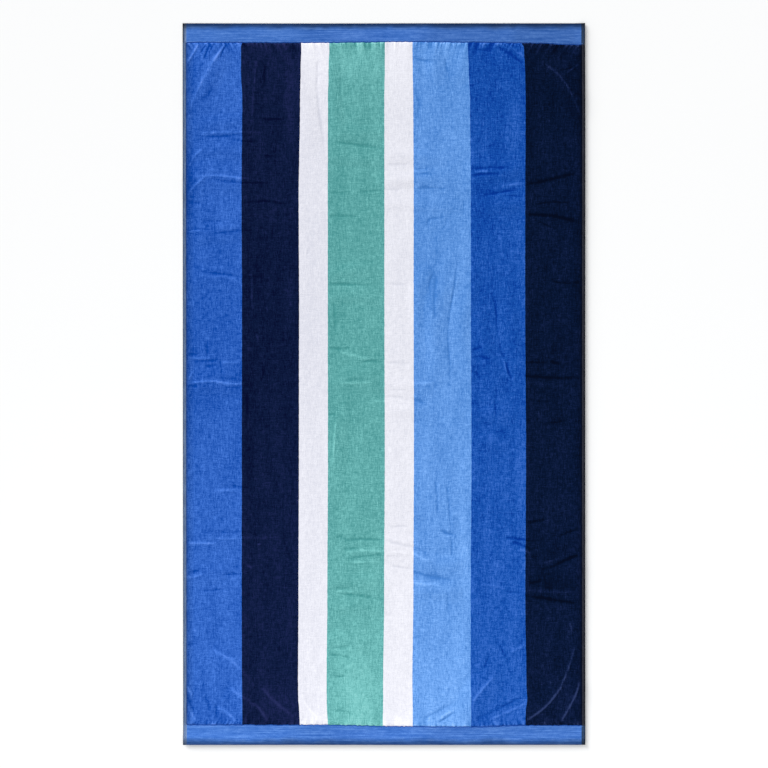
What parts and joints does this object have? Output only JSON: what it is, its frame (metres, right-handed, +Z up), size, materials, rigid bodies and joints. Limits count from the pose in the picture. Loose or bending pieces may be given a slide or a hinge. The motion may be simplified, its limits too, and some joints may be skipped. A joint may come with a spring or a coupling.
{
  "type": "beach towel",
  "caption": "Flat rectangular striped beach towel of velour terry with flat-woven headers and narrow side hems, lying spread out.",
  "frame": {"origin": "centre of the towel's rectangle, on the surface it lies on", "axes": "+Z up, +Y along the towel's length towards its head header, +X across its width"},
  "size_m": [0.965, 1.727, 0.0059],
  "materials": {
    "velour_terry": "matte cotton velour terry in lengthwise stripes of blue, navy, white, sea green and light blue"
  },
  "bodies": {
    "root": {"towel": "velour_terry"}
  },
  "joints": []
}
